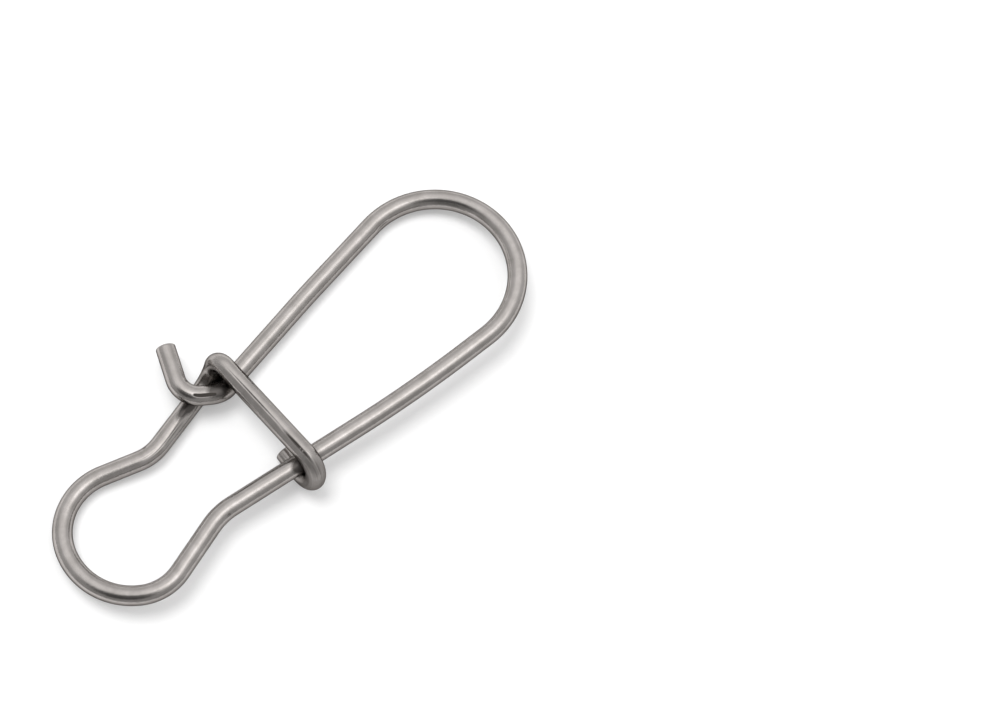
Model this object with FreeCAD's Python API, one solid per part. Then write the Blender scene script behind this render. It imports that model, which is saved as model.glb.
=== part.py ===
import FreeCAD
import Part
import math
import os

from FreeCAD import Vector

# The wire, in millimetres
wire_d = 1.0                # spring wire
wire_gap = 0.04             # room between two stretches that lie against each other
end_bevel = 0.08            # rim of each sheared end, broken by tumbling

# Centre distance of two stretches that lie against each other
pitch = wire_d + wire_gap

# The large loop. Plan sizes run along the wire's centreline, with the crossbar on x = 0
# and the large loop's middle on y = 0; the front legs are on +y, the back leg on -y
large_loop_r = 4.2
large_loop_x = 11.19        # from the crossbar to the middle of the round end
front_leg_y = 2.68          # front leg, where the crossbar lies over it
front_bow_along = 5.8       # slight bow, this far up the leg from the crossbar
front_bow_out = 0.07
front_bow_r = 60.0
back_bow_along = 11.35      # slight bow in the back leg, this far from its shoulder
back_bow_out = 0.3
back_bow_r = 70.0

# The small loop: a flat round end between two tighter cheeks
small_loop_x = 8.36         # from the crossbar to the middle of the end arc
small_loop_y = 0.18
small_end_r = 3.57
front_cheek_tighter = 0.57  # how much tighter than the end each cheek is bent
front_cheek_angle = 160.2   # where the end turns into the cheek, about its middle
back_cheek_tighter = 1.06
back_cheek_angle = -124.4

# The shoulders, where the wire draws in beside the small loop, set out from its middle
front_shoulder_x = 2.9
front_shoulder_y = 2.16
front_shoulder_r = 2.4
back_shoulder_x = 3.39
back_shoulder_y = 2.37
back_shoulder_r = 3.4

# The hooks close round each other's wire, so the sizes below are in pitches of that wire

# Hook 1: the front leg's free end climbs over the wire beside it and turns out as a stub
leg_foot_r = 0.917 * pitch          # bend where the front leg leaves the loops' plane
hook1_bend_x = 0.756 * pitch        # outer bend, back from the crossbar
hook1_bend_y = 0.386 * pitch        # and in from the front leg's line
hook1_bend_z = 0.608 * pitch
hook1_bend_r = 1.179 * pitch
stub1_bend_x = 2.48 * pitch         # where the stub turns out
stub1_bend_y = 0.258 * pitch        # out from the line of the wire below
stub1_bend_z = 1.096 * pitch        # just clear of that wire
stub1_bend_r = 1.077 * pitch
stub1_length = 2.79
stub1_angle = 66.0

# The corner, where the wire from the small loop climbs and turns across as the crossbar
rise_x = 0.652 * pitch              # foot of the climb, back from the crossbar
rise_y = 0.859 * pitch              # and out from the front leg's line
rise_dip = 0.098 * pitch            # the foot is pressed down a little by hook 1
rise_r = 1.63 * pitch
corner_x = 0.025 * pitch
corner_y = 0.922 * pitch            # out from the front leg
corner_z = 1.284 * pitch
corner_r = 0.586 * pitch

# Hook 2: the crossbar's end wraps down round the back leg and under it
wrap_x = -0.023 * pitch
wrap_y = 0.973 * pitch              # out from the back leg's line
wrap_drift = 0.503 * pitch          # how far along the leg the wrap travels
stub2_length = 2.38
stub2_angle = 85.0

# Part of a straight run that the bends at its two ends may take up
run_share = 0.98


def plan(angle, length):
    """A flat vector of this length, turned this many degrees from the long axis."""
    return Vector(length * math.cos(math.radians(angle)), length * math.sin(math.radians(angle)), 0)


def plan_angle(vector):
    return math.degrees(math.atan2(vector.y, vector.x))


def touch_point(corner, centre, radius, arriving):
    """Where a straight leg from a corner runs onto a round bend, or leaves it, going clockwise."""
    away = corner - centre
    swing = math.degrees(math.acos(radius / away.Length))
    side = -1 if arriving else 1
    return centre + plan(plan_angle(away) + side * swing, radius)


def bow_point(start, end, along, left):
    """A point on the way from start to end, and a little to the left of that line."""
    heading = plan_angle(end - start)
    return start + plan(heading, along) + plan(heading + 90, left)


def line_y(start, end, x):
    """How far across the straight line through two points is, this far along."""
    return start.y + (end.y - start.y) / (end.x - start.x) * (x - start.x)


def clockwise_arc(centre, start, end):
    """A flat arc about a centre, clockwise from start to end."""
    start_angle = plan_angle(start - centre)
    sweep = (start_angle - plan_angle(end - centre)) % 360
    middle = centre + plan(start_angle - sweep / 2, (start - centre).Length)
    return Part.Arc(start, middle, end).toShape()


def bend_reaches(points, radii):
    """How far each bend takes up its two straight runs, which are shared where both bends need them."""
    reaches = [0]
    for before, corner, after, radius in zip(points, points[1:], points[2:], radii[1:]):
        half_angle = (before - corner).getAngle(after - corner) / 2
        reaches.append(radius / math.tan(half_angle))
    reaches.append(0)
    runs = [(after - before).Length for before, after in zip(points, points[1:])]
    for at, run in enumerate(runs):
        share = min(1, run_share * run / (reaches[at] + reaches[at + 1]))
        reaches[at] *= share
        reaches[at + 1] *= share
    return reaches


def rounded_run(corners):
    """Straight runs through the corners, each inner corner rounded by its own bend radius."""
    points = [point for point, _ in corners]
    reaches = bend_reaches(points, [radius for _, radius in corners])
    edges = []
    start = points[0]
    for before, corner, after, reach in zip(points, points[1:], points[2:], reaches[1:]):
        back = (before - corner).normalize()
        onward = (after - corner).normalize()
        half_angle = back.getAngle(onward) / 2
        inward = (back + onward).normalize()
        depth = reach / math.cos(half_angle) - reach * math.tan(half_angle)
        bend_start = corner + back * reach
        bend_end = corner + onward * reach
        edges.append(Part.LineSegment(start, bend_start).toShape())
        edges.append(Part.Arc(bend_start, corner + inward * depth, bend_end).toShape())
        start = bend_end
    edges.append(Part.LineSegment(start, points[-1]).toShape())
    return edges


# Small loop
small_middle = Vector(-small_loop_x, small_loop_y, 0)
front_cheek_r = small_end_r - front_cheek_tighter
back_cheek_r = small_end_r - back_cheek_tighter
front_cheek_middle = small_middle + plan(front_cheek_angle, front_cheek_tighter)
back_cheek_middle = small_middle + plan(back_cheek_angle, back_cheek_tighter)
front_shoulder = small_middle + Vector(front_shoulder_x, front_shoulder_y, 0)
back_shoulder = small_middle + Vector(back_shoulder_x, -back_shoulder_y, 0)
back_cheek_touch = touch_point(back_shoulder, back_cheek_middle, back_cheek_r, arriving=True)
front_cheek_touch = touch_point(front_shoulder, front_cheek_middle, front_cheek_r, arriving=False)
small_end_start = small_middle + plan(back_cheek_angle, small_end_r)
small_end_finish = small_middle + plan(front_cheek_angle, small_end_r)

# Large loop
large_middle = Vector(large_loop_x, 0, 0)
front_leg_foot = Vector(0, front_leg_y, 0)
straight_touch = touch_point(front_leg_foot, large_middle, large_loop_r, arriving=True)
front_bow = bow_point(front_leg_foot, straight_touch, front_bow_along, front_bow_out)
front_leg_touch = touch_point(front_bow, large_middle, large_loop_r, arriving=True)
straight_touch = touch_point(back_shoulder, large_middle, large_loop_r, arriving=False)
back_bow = bow_point(back_shoulder, straight_touch, back_bow_along, -back_bow_out)
back_leg_touch = touch_point(back_bow, large_middle, large_loop_r, arriving=False)

# Corner and crossbar, and hook 2 with its stub
rise_foot_y = line_y(front_leg_foot, front_bow, -rise_x) + rise_y
rise_foot = Vector(-rise_x, rise_foot_y, -rise_dip)
corner = Vector(corner_x, front_leg_y + corner_y, corner_z)
wrap_top = Vector(wrap_x, line_y(back_shoulder, back_bow, wrap_x) - wrap_y, pitch)
wrap_bottom = wrap_top - Vector(wrap_drift, 0, 2 * pitch)
stub2_tip = wrap_bottom + plan(stub2_angle, stub2_length)

# Hook 1 and its stub, over the wire that runs from the small loop to the corner
hook1_bend_line_y = line_y(front_leg_foot, front_bow, -hook1_bend_x)
hook1_bend = Vector(-hook1_bend_x, hook1_bend_line_y - hook1_bend_y, hook1_bend_z)
stub1_bend_line_y = line_y(front_shoulder, rise_foot, -stub1_bend_x)
stub1_bend = Vector(-stub1_bend_x, stub1_bend_line_y + stub1_bend_y, stub1_bend_z)
stub1_tip = stub1_bend + plan(stub1_angle, stub1_length)


def wire_path():
    """The whole centreline, from the tip of hook 1 to the tip of hook 2."""
    edges = rounded_run([
        (stub1_tip, 0),
        (stub1_bend, stub1_bend_r),
        (hook1_bend, hook1_bend_r),
        (front_leg_foot, leg_foot_r),
        (front_bow, front_bow_r),
        (front_leg_touch, 0),
    ])
    edges.append(clockwise_arc(large_middle, front_leg_touch, back_leg_touch))
    edges += rounded_run([
        (back_leg_touch, 0),
        (back_bow, back_bow_r),
        (back_shoulder, back_shoulder_r),
        (back_cheek_touch, 0),
    ])
    edges.append(clockwise_arc(back_cheek_middle, back_cheek_touch, small_end_start))
    edges.append(clockwise_arc(small_middle, small_end_start, small_end_finish))
    edges.append(clockwise_arc(front_cheek_middle, small_end_finish, front_cheek_touch))
    edges += rounded_run([
        (front_cheek_touch, 0),
        (front_shoulder, front_shoulder_r),
        (rise_foot, rise_r),
        (corner, corner_r),
        (wrap_top, pitch),
        (wrap_bottom, pitch),
        (stub2_tip, 0),
    ])
    return Part.Wire(edges)


def bent_wire():
    """The round wire swept along its path, with the rims of its two flat ends bevelled off."""
    section = Part.Wire(Part.makeCircle(wire_d / 2, stub1_tip, stub1_bend - stub1_tip))
    wire = wire_path().makePipeShell([section], True, False)
    ends = [face for face in wire.Faces if isinstance(face.Surface, Part.Plane)]
    return wire.makeChamfer(end_bevel, [rim for end in ends for rim in end.Edges])


def rest_tilt():
    """The axis along both loops' front sides, and the tilt that sets hook 2's tip on the same floor."""
    across = large_middle - front_cheek_middle
    lean = math.degrees(math.asin((large_loop_r - front_cheek_r) / across.Length))
    axis_angle = plan_angle(across) + lean
    outward = plan(axis_angle + 90, 1)
    reach = (large_middle - stub2_tip).dot(outward) + large_loop_r + end_bevel
    drop = pitch + wire_d / 2
    tilt = math.acos(wire_d / 2 / math.hypot(drop, reach)) - math.atan2(reach, drop)
    return plan(axis_angle, 1), math.degrees(tilt)


def main():
    snap = bent_wire()
    axis, tilt = rest_tilt()
    snap.rotate(Vector(0, 0, 0), axis, -tilt)
    box = snap.optimalBoundingBox(False, False)
    snap.translate(Vector(-box.Center.x, -box.Center.y, -box.ZMin))
    os.makedirs("parts", exist_ok=True)
    snap.exportStep("parts/snap_wire.step")
    print("tilt", round(tilt, 2))
    print("size", round(box.XLength, 2), round(box.YLength, 2), round(box.ZLength, 2))
    print("valid", snap.isValid(), "solids", len(snap.Solids), "volume", round(snap.Volume, 3))


main()
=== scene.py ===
import math

import bmesh
import bpy
from mathutils import Matrix, Vector
from mathutils.kdtree import KDTree


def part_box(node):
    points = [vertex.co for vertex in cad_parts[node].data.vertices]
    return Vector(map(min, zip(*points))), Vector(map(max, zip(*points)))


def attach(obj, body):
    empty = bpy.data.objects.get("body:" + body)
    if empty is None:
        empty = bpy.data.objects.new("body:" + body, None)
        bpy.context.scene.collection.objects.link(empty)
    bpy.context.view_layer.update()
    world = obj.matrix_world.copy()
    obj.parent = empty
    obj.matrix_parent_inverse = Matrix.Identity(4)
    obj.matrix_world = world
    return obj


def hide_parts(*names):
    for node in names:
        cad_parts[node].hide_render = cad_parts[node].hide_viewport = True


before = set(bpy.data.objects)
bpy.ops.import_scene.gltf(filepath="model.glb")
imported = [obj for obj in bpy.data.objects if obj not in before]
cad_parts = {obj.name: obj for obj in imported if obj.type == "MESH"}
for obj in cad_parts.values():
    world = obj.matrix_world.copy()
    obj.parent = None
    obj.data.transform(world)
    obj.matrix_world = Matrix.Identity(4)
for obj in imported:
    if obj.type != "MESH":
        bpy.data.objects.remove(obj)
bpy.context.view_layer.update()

# The wire. The snap is one length of round, hard-drawn stainless spring wire, bent cold round
# pins into two loops. Its two ends are bent into hooks, which lock round each other's wire.
wire_d = 1.0
wire_gap = 0.04
pitch = wire_d + wire_gap

# Its line in the flat of the loops, in millimetres. The crossbar lies on x = 0, the small loop is
# on -x, and the front legs are on +y. First the large loop and its two slightly bowed legs
large_loop_r = 4.2
large_loop_x = 11.19
front_leg_y = 2.68
front_bow_along = 5.8
front_bow_out = 0.07
front_bow_r = 60.0
back_bow_along = 11.35
back_bow_out = 0.3
back_bow_r = 70.0

# The small loop, a flat round end between two tighter cheeks, and the shoulders beside it
small_loop_x = 8.36
small_loop_y = 0.18
small_end_r = 3.57
front_cheek_tighter = 0.57
front_cheek_angle = 160.2
back_cheek_tighter = 1.06
back_cheek_angle = -124.4
front_shoulder_x = 2.9
front_shoulder_y = 2.16
front_shoulder_r = 2.4
back_shoulder_x = 3.39
back_shoulder_y = 2.37
back_shoulder_r = 3.4

# Hook 1, from the foot of the front leg over the wire beside it, and its stub
leg_foot_r = 0.917 * pitch
hook1_bend_x = 0.756 * pitch
hook1_bend_y = 0.386 * pitch
hook1_bend_z = 0.608 * pitch
hook1_bend_r = 1.179 * pitch
stub1_bend_x = 2.48 * pitch
stub1_bend_y = 0.258 * pitch
stub1_bend_z = 1.096 * pitch
stub1_bend_r = 1.077 * pitch
stub1_length = 2.79
stub1_angle = 66.0

# The climb to the corner, where the wire turns across as the crossbar
rise_x = 0.652 * pitch
rise_y = 0.859 * pitch
rise_dip = 0.098 * pitch
rise_r = 1.63 * pitch
corner_x = 0.025 * pitch
corner_y = 0.922 * pitch
corner_z = 1.284 * pitch
corner_r = 0.586 * pitch

# Hook 2, where the crossbar wraps down round the back leg and under it, and its stub
wrap_x = -0.023 * pitch
wrap_y = 0.973 * pitch
wrap_drift = 0.503 * pitch
stub2_length = 2.38
stub2_angle = 85.0


def plan(angle, length):
    """A flat vector of this length, turned this many degrees from the long axis."""
    turned = math.radians(angle)
    return Vector((length * math.cos(turned), length * math.sin(turned), 0))


def plan_angle(vector):
    return math.degrees(math.atan2(vector.y, vector.x))


def touch_point(corner, centre, radius, side):
    """Where a straight leg from a corner runs onto a round bend (side -1) or leaves it (side 1)."""
    away = corner - centre
    swing = math.degrees(math.acos(radius / away.length))
    return centre + plan(plan_angle(away) + side * swing, radius)


def bow_point(start, end, along, left):
    """A point on the way from start to end, and a little to the left of that line."""
    heading = plan_angle(end - start)
    return start + plan(heading, along) + plan(heading + 90, left)


def line_y(start, end, x):
    """How far across the straight line through two points is, this far along."""
    return start.y + (end.y - start.y) / (end.x - start.x) * (x - start.x)


small_middle = Vector((-small_loop_x, small_loop_y, 0))
front_cheek_r = small_end_r - front_cheek_tighter
back_cheek_r = small_end_r - back_cheek_tighter
front_cheek_middle = small_middle + plan(front_cheek_angle, front_cheek_tighter)
back_cheek_middle = small_middle + plan(back_cheek_angle, back_cheek_tighter)
front_shoulder = small_middle + Vector((front_shoulder_x, front_shoulder_y, 0))
back_shoulder = small_middle + Vector((back_shoulder_x, -back_shoulder_y, 0))
back_cheek_touch = touch_point(back_shoulder, back_cheek_middle, back_cheek_r, -1)
front_cheek_touch = touch_point(front_shoulder, front_cheek_middle, front_cheek_r, 1)
small_end_start = small_middle + plan(back_cheek_angle, small_end_r)
small_end_finish = small_middle + plan(front_cheek_angle, small_end_r)

large_middle = Vector((large_loop_x, 0, 0))
front_leg_foot = Vector((0, front_leg_y, 0))
straight_touch = touch_point(front_leg_foot, large_middle, large_loop_r, -1)
front_bow = bow_point(front_leg_foot, straight_touch, front_bow_along, front_bow_out)
front_leg_touch = touch_point(front_bow, large_middle, large_loop_r, -1)
straight_touch = touch_point(back_shoulder, large_middle, large_loop_r, 1)
back_bow = bow_point(back_shoulder, straight_touch, back_bow_along, -back_bow_out)
back_leg_touch = touch_point(back_bow, large_middle, large_loop_r, 1)

rise_foot_y = line_y(front_leg_foot, front_bow, -rise_x) + rise_y
rise_foot = Vector((-rise_x, rise_foot_y, -rise_dip))
corner = Vector((corner_x, front_leg_y + corner_y, corner_z))
wrap_top = Vector((wrap_x, line_y(back_shoulder, back_bow, wrap_x) - wrap_y, pitch))
wrap_bottom = wrap_top - Vector((wrap_drift, 0, 2 * pitch))
stub2_tip = wrap_bottom + plan(stub2_angle, stub2_length)

hook1_bend_line_y = line_y(front_leg_foot, front_bow, -hook1_bend_x)
hook1_bend = Vector((-hook1_bend_x, hook1_bend_line_y - hook1_bend_y, hook1_bend_z))
stub1_bend_line_y = line_y(front_shoulder, rise_foot, -stub1_bend_x)
stub1_bend = Vector((-stub1_bend_x, stub1_bend_line_y + stub1_bend_y, stub1_bend_z))
stub1_tip = stub1_bend + plan(stub1_angle, stub1_length)


def bend_reaches(points, radii):
    """How far each bend takes up its two straight runs, shared where both bends need them."""
    run_share = 0.98
    reaches = [0]
    for before, at, after, radius in zip(points, points[1:], points[2:], radii[1:]):
        reaches.append(radius / math.tan((before - at).angle(after - at) / 2))
    reaches.append(0)
    runs = [(after - before).length for before, after in zip(points, points[1:])]
    for index, run in enumerate(runs):
        share = min(1, run_share * run / (reaches[index] + reaches[index + 1]))
        reaches[index] *= share
        reaches[index + 1] *= share
    return reaches


def bend_pins(corners):
    """For each inner corner: where its bend starts, its pin's middle and axis, and the turn."""
    points = [point for point, _ in corners]
    reaches = bend_reaches(points, [radius for _, radius in corners])
    pins = []
    for before, at, after, reach in zip(points, points[1:], points[2:], reaches[1:]):
        back = (before - at).normalized()
        onward = (after - at).normalized()
        half_angle = back.angle(onward) / 2
        middle = at + (back + onward).normalized() * reach / math.cos(half_angle)
        axis = onward.cross(back).normalized()
        pins.append((at + back * reach, middle, axis, math.pi - 2 * half_angle))
    return pins


def loop_pin(start, middle, end):
    """A clockwise bend round a loop's pin."""
    turn = math.radians((plan_angle(start - middle) - plan_angle(end - middle)) % 360)
    return (start, middle, Vector((0, 0, -1)), turn)


hook1_pins = bend_pins([
    (stub1_tip, 0),
    (stub1_bend, stub1_bend_r),
    (hook1_bend, hook1_bend_r),
    (front_leg_foot, leg_foot_r),
    (front_bow, front_bow_r),
    (front_leg_touch, 0),
])
large_loop_pin = loop_pin(front_leg_touch, large_middle, back_leg_touch)
back_leg_pins = bend_pins([
    (back_leg_touch, 0),
    (back_bow, back_bow_r),
    (back_shoulder, back_shoulder_r),
    (back_cheek_touch, 0),
])
small_loop_pins = [
    loop_pin(back_cheek_touch, back_cheek_middle, small_end_start),
    loop_pin(small_end_start, small_middle, small_end_finish),
    loop_pin(small_end_finish, front_cheek_middle, front_cheek_touch),
]
hook2_pins = bend_pins([
    (front_cheek_touch, 0),
    (front_shoulder, front_shoulder_r),
    (rise_foot, rise_r),
    (corner, corner_r),
    (wrap_top, pitch),
    (wrap_bottom, pitch),
    (stub2_tip, 0),
])
pins = hook1_pins + [large_loop_pin] + back_leg_pins + small_loop_pins + hook2_pins

# The bending. A circle is added at the first sheared end, pushed out along each straight run and
# spun round each pin, in rings of points that are never further apart than ring_space.
ring_sides = 96
ring_space = 0.16
tightest_step = math.radians(5)
shortest_run = 0.004
tight_pin_reach = 2 * pitch

bpy.ops.object.select_all(action="DESELECT")
start_facing = (pins[0][0] - stub1_tip).to_track_quat("Z", "X")
bpy.ops.mesh.primitive_circle_add(vertices=ring_sides, radius=wire_d / 2, fill_type="NOTHING",
                                  location=stub1_tip, rotation=start_facing.to_euler())
wire = bpy.context.object
wire.name = "snap_wire_bent"
bpy.ops.object.transform_apply(location=True, rotation=True, scale=True)
bpy.ops.object.mode_set(mode="EDIT")
bpy.ops.mesh.select_all(action="SELECT")

ring_middles = [stub1_tip.copy()]
ring_along = [0.0]


def push_out(end):
    """Draws the open end of the wire on, straight to the next bend."""
    way = end - ring_middles[-1]
    steps = max(1, round(way.length / ring_space))
    for _ in range(steps):
        bpy.ops.mesh.extrude_region_move(TRANSFORM_OT_translate={"value": way / steps})
        ring_middles.append(ring_middles[-1] + way / steps)
        ring_along.append(ring_along[-1] + way.length / steps)


def bend_round(middle, axis, turn):
    """Spins the open end of the wire round a pin."""
    arm = ring_middles[-1] - middle
    length = arm.length * turn
    steps = max(2, math.ceil(length / ring_space), math.ceil(turn / tightest_step))
    bpy.ops.mesh.spin(steps=steps, angle=-turn, center=middle, axis=axis)
    for step in range(1, steps + 1):
        spoke = Matrix.Rotation(turn * step / steps, 3, axis) @ arm
        ring_middles.append(middle + spoke)
        ring_along.append(ring_along[-1] + length / steps)


tight_bends = []
for bend_start, pin_middle, pin_axis, pin_turn in pins:
    if (bend_start - ring_middles[-1]).length > shortest_run:
        push_out(bend_start)
    first_ring = len(ring_middles) - 1
    bend_round(pin_middle, pin_axis, pin_turn)
    if (bend_start - pin_middle).length < tight_pin_reach:
        tight_bends.append((first_ring, len(ring_middles) - 1, pin_middle))
push_out(stub2_tip)
bpy.ops.object.mode_set(mode="OBJECT")


def ring_points(ring):
    """The points of one ring, in order of their bearing round the wire."""
    return wire.data.vertices[ring * ring_sides:(ring + 1) * ring_sides]


# The place of each point in the straight, unbent wire, which the drawn lines and marks follow
unbent = wire.data.attributes.new("unbent", "FLOAT_VECTOR", "POINT")
for ring, along in enumerate(ring_along):
    for side, point in enumerate(ring_points(ring)):
        turned = 2 * math.pi * side / ring_sides
        across = (wire_d / 2 * math.cos(turned), wire_d / 2 * math.sin(turned))
        unbent.data[point.index].vector = (*across, along)

# Which way each point faces in the flat of the loops: 1 straight up, 0 out to a side. The colour
# paints shade on the flanks from it
upward = wire.data.attributes.new("upward", "FLOAT", "POINT")
for ring, ring_middle in enumerate(ring_middles):
    for point in ring_points(ring):
        upward.data[point.index].value = (point.co - ring_middle).z / (wire_d / 2)

# How close each point lies to another stretch of the wire, where the colour is darkened as painted
# shade:
# 1 where the two all but touch, 0 from the reach set just below
contact_shade_reach = 0.55
own_stretch = 2.2
touching = wire.data.attributes.new("touching", "FLOAT", "POINT")
all_middles = KDTree(len(ring_middles))
for ring, ring_middle in enumerate(ring_middles):
    all_middles.insert(ring_middle, ring)
all_middles.balance()
for ring, ring_middle in enumerate(ring_middles):
    near = [middle for middle, other, _ in all_middles.find_range(ring_middle, wire_d + contact_shade_reach)
            if abs(ring_along[other] - ring_along[ring]) > own_stretch]
    if near:
        for point in ring_points(ring):
            room = min((point.co - middle).length for middle in near) - wire_d / 2
            touching.data[point.index].value = min(1, max(0, 1 - room / contact_shade_reach))

# Marks of the bending, pressed into the round wire. A mark's bearing is in degrees round the
# wire, and its start and finish are in millimetres along it, from the tip of stub 1. Here is
# which way bearings 0 and 90 point at each ring
way_0 = []
way_90 = []
for ring, ring_middle in enumerate(ring_middles):
    points = ring_points(ring)
    way_0.append((points[0].co - ring_middle).normalized())
    way_90.append((points[ring_sides // 4].co - ring_middle).normalized())


def bearing_way(ring, bearing):
    """Which way a bearing round the wire points at this ring."""
    turned = math.radians(bearing)
    return way_0[ring] * math.cos(turned) + way_90[ring] * math.sin(turned)


def ease(share):
    """0 up to 0, 1 from 1, and smooth between."""
    share = min(1, max(0, share))
    return share * share * (3 - 2 * share)


def run_in_and_out(along, start, finish, run_in):
    """How much of a mark there is at a place along the wire, from none at its ends to all of it."""
    return ease((along - start) / run_in) * ease((finish - along) / run_in)


def press_flat(start, finish, bearings, depths, run_in):
    """Presses a flat into one side of the wire, between two places along it.

    Its bearing and its depth pass evenly from their first value to their second."""
    for ring, along in enumerate(ring_along):
        if start < along < finish:
            share = (along - start) / (finish - start)
            fade = run_in_and_out(along, start, finish, run_in)
            depth = fade * (depths[0] + (depths[1] - depths[0]) * share)
            pressed = bearing_way(ring, bearings[0] + (bearings[1] - bearings[0]) * share)
            for point in ring_points(ring):
                over = (point.co - ring_middles[ring]).dot(pressed) - (wire_d / 2 - depth)
                if over > 0:
                    point.co -= pressed * over


def swell(start, finish, bearing, height, run_in):
    """Bulges one side of the wire out, between two places along it."""
    for ring, along in enumerate(ring_along):
        if start < along < finish:
            fade = run_in_and_out(along, start, finish, run_in)
            swollen = bearing_way(ring, bearing)
            for point in ring_points(ring):
                lean = (point.co - ring_middles[ring]).dot(swollen) / (wire_d / 2)
                if lean > 0:
                    point.co += swollen * height * fade * lean * lean


# Flats inside each tight bend, where the wire was drawn round its pin
pin_flat = 0.02
for first, last, pin_middle in tight_bends:
    halfway = (first + last) // 2
    inward = pin_middle - ring_middles[halfway]
    bearing = math.degrees(math.atan2(inward.dot(way_90[halfway]), inward.dot(way_0[halfway])))
    press_flat(ring_along[first], ring_along[last], bearings=(bearing, bearing),
               depths=(pin_flat, pin_flat), run_in=0.3)

# Flats of the closing tool: two along the crossbar, one on top of hook 1, one below hook 1 that
# deepens towards it, and one on the large loop
press_flat(70.6, 77.1, bearings=(194, 197), depths=(0.02, 0.022), run_in=0.5)
press_flat(74.4, 77.4, bearings=(174, 171), depths=(0.006, 0.01), run_in=0.7)
press_flat(2.85, 4.15, bearings=(281, 279), depths=(0.01, 0.01), run_in=0.3)
press_flat(63.9, 67.4, bearings=(288, 267), depths=(0.004, 0.06), run_in=0.5)
press_flat(18.6, 22.0, bearings=(283, 279), depths=(0.004, 0.012), run_in=0.7)

# The climb and the foot of the front leg, which are squeezed together, so no floor shows between
swell(68.4, 69.6, bearing=325, height=0.035, run_in=0.4)
swell(4.4, 5.6, bearing=170, height=0.025, run_in=0.4)

# The two sheared ends: closed, and their rims broken by tumbling
end_bevel = 0.08
bpy.ops.object.mode_set(mode="EDIT")
for first in (0, len(wire.data.vertices) - ring_sides):
    bpy.ops.mesh.select_all(action="DESELECT")
    edit = bmesh.from_edit_mesh(wire.data)
    edit.verts.ensure_lookup_table()
    for point in edit.verts[first:first + ring_sides]:
        point.select = True
    edit.select_flush(True)
    bpy.ops.mesh.edge_face_add()
bpy.ops.mesh.select_all(action="DESELECT")
edit = bmesh.from_edit_mesh(wire.data)
for face in edit.faces:
    face.select = len(face.verts) == ring_sides
bpy.ops.mesh.bevel(offset=end_bevel, segments=4, affect="EDGES")
bpy.ops.mesh.select_all(action="SELECT")
bpy.ops.mesh.normals_make_consistent(inside=False)
bpy.ops.object.mode_set(mode="OBJECT")

# Laid down as the snap comes to rest, on the front sides of both loops and the tip of hook 2
mm_per_m = 1000
across = large_middle - front_cheek_middle
lean = math.degrees(math.asin((large_loop_r - front_cheek_r) / across.length))
axis_angle = plan_angle(across) + lean
reach = (large_middle - stub2_tip).dot(plan(axis_angle + 90, 1)) + large_loop_r + end_bevel
drop = pitch + wire_d / 2
tilt = math.acos(wire_d / 2 / math.hypot(drop, reach)) - math.atan2(reach, drop)
wire.data.transform(Matrix.Scale(1 / mm_per_m, 4) @ Matrix.Rotation(-tilt, 4, plan(axis_angle, 1)))
cad_low, cad_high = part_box("snap_wire")
low = Vector(min(point.co[k] for point in wire.data.vertices) for k in range(3))
high = Vector(max(point.co[k] for point in wire.data.vertices) for k in range(3))
wire.data.transform(Matrix.Translation((cad_low + cad_high - low - high) / 2))

bpy.ops.object.select_all(action="DESELECT")
wire.select_set(True)
bpy.context.view_layer.objects.active = wire
bpy.ops.object.shade_smooth_by_angle(angle=math.radians(40))
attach(wire, "root")
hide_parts("snap_wire")

# Drawn stainless steel: satin warm grey. Drawing through a die leaves fine lines along the
# wire, and tumbling to clean it leaves a fine grain and faint blotches over them.
dark_steel = (0.395, 0.37, 0.352, 1)
light_steel = (0.49, 0.46, 0.443, 1)
# The dark brown that the painted shade, painted dark reflections, nicks and streaks turn the steel
# towards
grime_and_shade_brown = (0.055, 0.049, 0.045, 1)
line_depth = 5e-6
grain_depth = 5e-6
groove_depth = 2.2e-5
rougher_in_dark_marks = 0.2
rougher_where_worked = 0.3

steel = bpy.data.materials.new("drawn_stainless")
steel.use_nodes = True
nodes = steel.node_tree.nodes
links = steel.node_tree.links
metal = nodes["Principled BSDF"]
metal.inputs["Metallic"].default_value = 1
metal.inputs["Specular Tint"].default_value = (0.1, 0.1, 0.1, 1)


def plug(socket, value):
    """Links a socket to another node's output, or gives it a number or vector of its own."""
    if isinstance(value, bpy.types.NodeSocket):
        links.new(value, socket)
    else:
        socket.default_value = value


def maths(operation, *terms, clamp=False):
    node = nodes.new("ShaderNodeMath")
    node.operation = operation
    node.use_clamp = clamp
    for socket, term in zip(node.inputs, terms):
        plug(socket, term)
    return node.outputs["Value"]


def vector_maths(operation, *terms):
    node = nodes.new("ShaderNodeVectorMath")
    node.operation = operation
    for socket, term in zip(node.inputs, terms):
        plug(socket, term)
    return node.outputs["Value" if operation in ("LENGTH", "DOT_PRODUCT") else "Vector"]


def ranged(value, from_min, from_max, to_min, to_max, kind="LINEAR"):
    """Brings one range of a value onto another, and holds it at both ends."""
    node = nodes.new("ShaderNodeMapRange")
    node.interpolation_type = kind
    plug(node.inputs["Value"], value)
    node.inputs["From Min"].default_value = from_min
    node.inputs["From Max"].default_value = from_max
    node.inputs["To Min"].default_value = to_min
    node.inputs["To Max"].default_value = to_max
    return node.outputs["Result"]


def kept_in_mesh(name, output):
    """A value that the mesh holds for each of its points."""
    node = nodes.new("ShaderNodeAttribute")
    node.attribute_name = name
    return node.outputs[output]


def noise(place, scale, detail, roughness):
    node = nodes.new("ShaderNodeTexNoise")
    plug(node.inputs["Vector"], place)
    node.inputs["Scale"].default_value = scale
    node.inputs["Detail"].default_value = detail
    node.inputs["Roughness"].default_value = roughness
    return node.outputs["Fac"]


def between(share, first, second):
    """A colour that passes from the first to the second."""
    node = nodes.new("ShaderNodeMix")
    node.data_type = "RGBA"
    plug(node.inputs["Factor"], share)
    plug(node.inputs["A"], first)
    plug(node.inputs["B"], second)
    return node.outputs["Result"]


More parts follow.
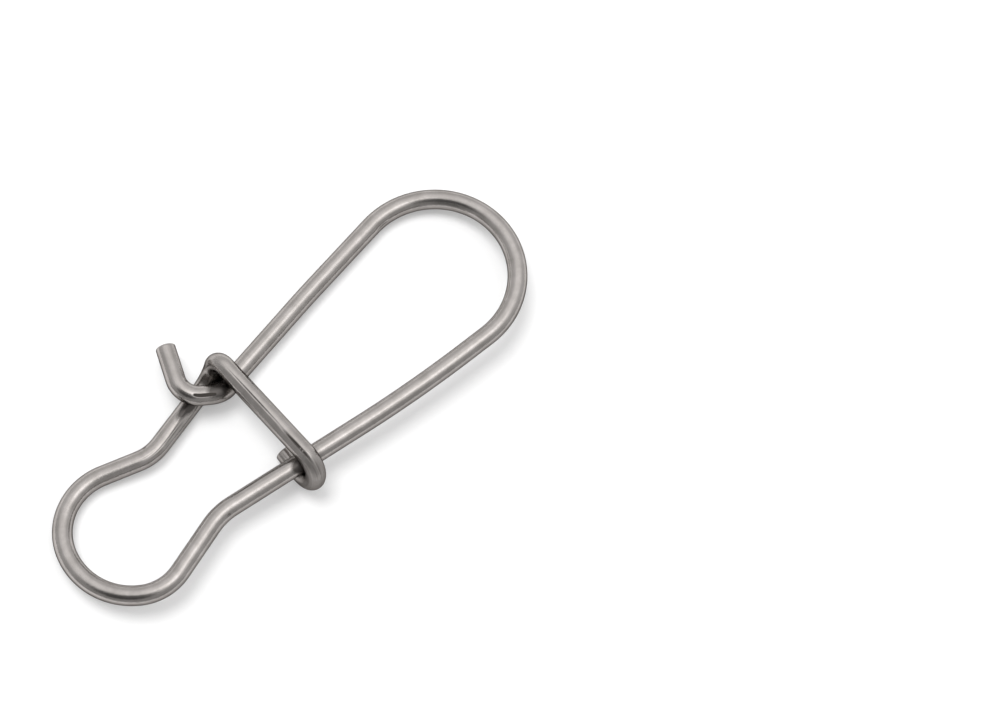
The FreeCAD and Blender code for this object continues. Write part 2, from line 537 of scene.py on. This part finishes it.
def relief(height, depth, under=None, sunk=False):
    """Raises the surface where height is large, or sinks it there, by a depth in metres."""
    node = nodes.new("ShaderNodeBump")
    node.invert = sunk
    node.inputs["Distance"].default_value = depth
    plug(node.inputs["Height"], height)
    if under is not None:
        plug(node.inputs["Normal"], under)
    return node.outputs["Normal"]


# Lines from the die, narrow across the wire and millimetres long, then the grain and blotches
unbent_place = kept_in_mesh("unbent", "Vector")
drawn_out = nodes.new("ShaderNodeMapping")
drawn_out.inputs["Scale"].default_value = (1, 1, 0.015)
links.new(unbent_place, drawn_out.inputs["Vector"])
die_lines = noise(drawn_out.outputs["Vector"], scale=11, detail=5, roughness=0.65)
grain = noise(unbent_place, scale=14, detail=3, roughness=0.7)
blotches = noise(unbent_place, scale=1.6, detail=4, roughness=0.5)


def lens(bearing, along, half_width, half_length, full_from, strength, squared=False):
    """How deep a point lies in a lens-shaped mark: 0 from its rim outwards, rising to strength.

    Its middle is at a bearing round the wire and a place along it, in degrees and millimetres,
    and it is at full strength out to full_from of the way to its rim."""
    turned = math.radians(bearing)
    middle = (wire_d / 2 * math.cos(turned), wire_d / 2 * math.sin(turned), along)
    out = vector_maths("SUBTRACT", unbent_place, middle)
    out = vector_maths("DIVIDE", out, (half_width, half_width, half_length))
    if squared:
        out = vector_maths("MULTIPLY", out, out)
    return ranged(vector_maths("LENGTH", out), from_min=1, from_max=full_from,
                  to_min=0, to_max=strength)


def deepest(marks):
    """The deepest of several marks at each point."""
    deep = marks[0]
    for mark in marks[1:]:
        deep = maths("MAXIMUM", deep, mark)
    return deep


# Grooves that the tools scored: along the crossbar, the wire below hook 1, the large loop, stub 2
# and the wrap of hook 2
grooves = deepest([
    lens(168, 72.9, half_width=0.06, half_length=2.3, full_from=0, strength=1.1),
    lens(174, 76.0, half_width=0.11, half_length=1.5, full_from=0, strength=0.9),
    lens(266, 65.0, half_width=0.045, half_length=1.3, full_from=0, strength=0.6),
    lens(279, 64.9, half_width=0.04, half_length=1.1, full_from=0, strength=0.5),
    lens(298, 16.8, half_width=0.05, half_length=0.55, full_from=0, strength=0.7),
    lens(289, 80.6, half_width=0.035, half_length=0.9, full_from=0, strength=0.7),
    lens(158, 77.6, half_width=0.05, half_length=0.9, full_from=0, strength=0.6),
    lens(146, 78.1, half_width=0.05, half_length=0.8, full_from=0, strength=0.5),
])

# Dents and nicks darkened in the colour: the slot on hook 1 and, of the three along the crossbar,
# its flat and dark line are painted dark reflections in pressed flats and grooves; the gouge beside
# hook 2 and the small ones at the bends, on the large loop and on the wire below hook 1 are darker
# spots
nicks_and_painted_reflections = deepest([
    lens(278, 3.55, half_width=0.1, half_length=0.56, full_from=0.8, strength=1.0, squared=True),
    lens(174, 76.1, half_width=0.1, half_length=1.25, full_from=0.5, strength=0.95),
    lens(167.5, 73.0, half_width=0.05, half_length=2.4, full_from=0.3, strength=0.68),
    lens(196, 73.8, half_width=0.26, half_length=3.4, full_from=0.8, strength=0.1),
    lens(195, 63.85, half_width=0.1, half_length=0.16, full_from=0.2, strength=0.7),
    lens(187, 46.07, half_width=0.1, half_length=0.14, full_from=0.2, strength=0.7),
    lens(217, 2.29, half_width=0.12, half_length=0.16, full_from=0.2, strength=0.7),
    lens(298, 16.8, half_width=0.06, half_length=0.4, full_from=0.2, strength=0.6),
    lens(214, 69.88, half_width=0.07, half_length=0.4, full_from=0.3, strength=0.6),
    lens(279, 20.6, half_width=0.1, half_length=1.7, full_from=0.3, strength=0.35),
    lens(253, 63.7, half_width=0.03, half_length=0.5, full_from=0.1, strength=0.4),
    lens(278, 65.2, half_width=0.05, half_length=1.2, full_from=0.3, strength=0.4),
])

# Painted shade in and beside the hooks, where other stretches of wire overhang or press on it: two
# below hook 1, two up the climb, on hook 1 under the crossbar, on the foot of the front leg and
# inside hook 2; and a faint darkening on stub 2
painted_hook_shade = deepest([
    lens(243, 66.75, half_width=0.3, half_length=0.85, full_from=0.6, strength=0.85),
    lens(254, 67.0, half_width=0.36, half_length=0.66, full_from=0.6, strength=0.9),
    lens(238, 68.8, half_width=0.45, half_length=0.6, full_from=0.5, strength=0.62),
    lens(251, 69.65, half_width=0.27, half_length=0.6, full_from=0.5, strength=0.8),
    lens(262, 4.2, half_width=0.45, half_length=0.65, full_from=0.6, strength=0.82),
    lens(175, 4.9, half_width=0.4, half_length=0.95, full_from=0.7, strength=0.95),
    lens(203, 41.75, half_width=0.5, half_length=0.62, full_from=0.7, strength=0.85),
    lens(300, 80.7, half_width=0.7, half_length=1.0, full_from=0.8, strength=0.25),
])

# Painted shade where the wire all but touches itself, and a little painted shade on the flanks,
# which face out to the sides
painted_contact_shade = ranged(kept_in_mesh("touching", "Fac"), from_min=0, from_max=1, to_min=0, to_max=0.75,
               kind="SMOOTHSTEP")
painted_flank_shade = ranged(kept_in_mesh("upward", "Fac"), from_min=0.52, from_max=0.34, to_min=0, to_max=0.4)

# Two ticks scraped bare across the gouge beside hook 2
bare = deepest([
    lens(172.5, 76.35, half_width=0.05, half_length=0.03, full_from=0.3, strength=1.0),
    lens(172.5, 76.51, half_width=0.05, half_length=0.03, full_from=0.3, strength=1.0),
])
# Everything that darkens the colour: painted shade, painted dark reflections and darker nicks, less
# the bare ticks
dirt_and_painted_shade = maths("SUBTRACT", deepest([nicks_and_painted_reflections, painted_hook_shade, painted_contact_shade, painted_flank_shade]), bare, clamp=True)

# Where the outer side of the sharpest bends is stretched and dulled, with the die lines drawn open
# into streaks: the wrap of hook 2 and the corner. Their darkening of the colour is streaked wear
# and also painted shade for the shaded floor the wrap mirrors
worked = deepest([
    lens(190, 77.9, half_width=1.1, half_length=1.5, full_from=0.6, strength=1.0),
    lens(190, 70.0, half_width=0.6, half_length=0.85, full_from=0.5, strength=0.3),
])
open_lines = ranged(die_lines, from_min=0.35, from_max=0.65, to_min=0.12, to_max=0.6)
streaks_and_painted_shade = maths("MULTIPLY", worked, open_lines)

# The colour: blotches of lighter and darker steel, browned by painted shade, painted dark
# reflections, darker nicks and streaks
lighter = ranged(blotches, from_min=0.3, from_max=0.7, to_min=0, to_max=1)
blotched = between(lighter, dark_steel, light_steel)
tarnished_and_shaded = between(deepest([dirt_and_painted_shade, streaks_and_painted_shade]), blotched, grime_and_shade_brown)
links.new(tarnished_and_shaded, metal.inputs["Base Color"])

# The satin: rougher and smoother with the grain, and duller in the painted shade and dark marks and
# where the wire is worked
satin = ranged(grain, from_min=0.35, from_max=0.65, to_min=0.11, to_max=0.2)
dulled = maths("MULTIPLY_ADD", dirt_and_painted_shade, rougher_in_dark_marks, satin)
dulled = maths("MULTIPLY_ADD", worked, rougher_where_worked, dulled)
links.new(dulled, metal.inputs["Roughness"])

# The relief of the lines, the grain and the grooves
surface = relief(die_lines, line_depth)
surface = relief(grain, grain_depth, under=surface)
surface = relief(grooves, groove_depth, under=surface, sunk=True)
links.new(surface, metal.inputs["Normal"])
wire.data.materials.append(steel)

# The floor: matt white paper, which shows white to the camera and in the metal, with the shadow
bpy.ops.mesh.primitive_plane_add(size=4, location=(0, 0, 0))
floor = bpy.context.object
floor.name = "floor"
paper = bpy.data.materials.new("white_paper")
paper.use_nodes = True
nodes = paper.node_tree.nodes
links = paper.node_tree.links
matt = nodes["Principled BSDF"]
matt.inputs["Base Color"].default_value = (0.73, 0.73, 0.73, 1)
matt.inputs["Roughness"].default_value = 1
matt.inputs["Specular IOR Level"].default_value = 0
matt.inputs["Emission Color"].default_value = (0.25, 0.25, 0.25, 1)
rays = nodes.new("ShaderNodeLightPath").outputs
shown = maths("MAXIMUM", rays["Is Camera Ray"], rays["Is Glossy Ray"])
shown = maths("MAXIMUM", shown, rays["Is Transmission Ray"])
links.new(shown, matt.inputs["Emission Strength"])
floor.data.materials.append(paper)

# The camera, fitted to the photograph: 143 mm above the snap, 69 degrees up from its loops. Its
# last turn is also how far the picture's right is turned from the snap's long axis
picture_right = -42.329
camera_place = (-0.0268872, -0.0179946, 0.1397194)
camera_turn = [math.radians(turn) for turn in (13.3295, -7.6562, picture_right)]
bpy.ops.object.camera_add(location=camera_place, rotation=camera_turn)
camera = bpy.context.object
camera.data.sensor_width = 36
camera.data.lens = 103
camera.data.clip_start = 0.01
camera.data.clip_end = 10
bpy.context.scene.camera = camera


# Soft studio light: one round softbox, and a pale room that the metal mirrors, bright overhead,
# with a lamp in it, and dark on the side that the picture is looked at from.
def direction(from_overhead, picture_way):
    """A way out from the snap: degrees from overhead, and from the picture's right to its top."""
    flat = math.sin(math.radians(from_overhead))
    turned = math.radians(picture_way + picture_right)
    return Vector((flat * math.cos(turned), flat * math.sin(turned),
                   math.cos(math.radians(from_overhead))))


softbox_away = 0.5
softbox_way = direction(20, 140)
bpy.ops.object.light_add(type="AREA", location=softbox_way * softbox_away,
                         rotation=softbox_way.to_track_quat("Z", "Y").to_euler())
softbox = bpy.context.object
softbox.name = "softbox"
softbox.data.shape = "DISK"
softbox.data.size = 0.24
softbox.data.energy = 1.35
softbox.visible_glossy = False

studio = bpy.data.worlds.new("studio")
studio.use_nodes = True
nodes = studio.node_tree.nodes
links = studio.node_tree.links
sky_way = nodes.new("ShaderNodeTexCoord").outputs["Generated"]


def facing(towards, from_degrees, to_degrees, start, finish):
    """A smooth change in the sky, from start to finish, as it nears a direction."""
    near = vector_maths("DOT_PRODUCT", sky_way, towards)
    far_off = math.cos(math.radians(from_degrees))
    close_by = math.cos(math.radians(to_degrees))
    return ranged(near, far_off, close_by, start, finish, kind="SMOOTHSTEP")


walls = facing(direction(90, 80), from_degrees=165, to_degrees=30, start=0.39, finish=0.78)
ceiling = facing(direction(8, 82), from_degrees=55, to_degrees=0, start=0, finish=0.52)
lantern = facing(direction(8, 0), from_degrees=24, to_degrees=6, start=0, finish=0.65)
lamp = facing(direction(8, 0), from_degrees=9, to_degrees=3, start=0, finish=0.7)
near_side = facing(direction(33, -121), from_degrees=34, to_degrees=14, start=1, finish=0.2)
pale_room = maths("ADD", maths("ADD", walls, ceiling), maths("ADD", lantern, lamp))
background = nodes["Background"]
background.inputs["Color"].default_value = (1, 1, 1, 1)
links.new(maths("MULTIPLY", pale_room, near_side), background.inputs["Strength"])

# The room is plain white where the camera itself looks past the floor
white = nodes.new("ShaderNodeBackground")
white.inputs["Color"].default_value = (1, 1, 1, 1)
seen = nodes.new("ShaderNodeLightPath")
shown_sky = nodes.new("ShaderNodeMixShader")
links.new(seen.outputs["Is Camera Ray"], shown_sky.inputs["Fac"])
links.new(background.outputs["Background"], shown_sky.inputs[1])
links.new(white.outputs["Background"], shown_sky.inputs[2])
links.new(shown_sky.outputs["Shader"], nodes["World Output"].inputs["Surface"])
bpy.context.scene.world = studio
bpy.context.scene.view_settings.view_transform = "Standard"
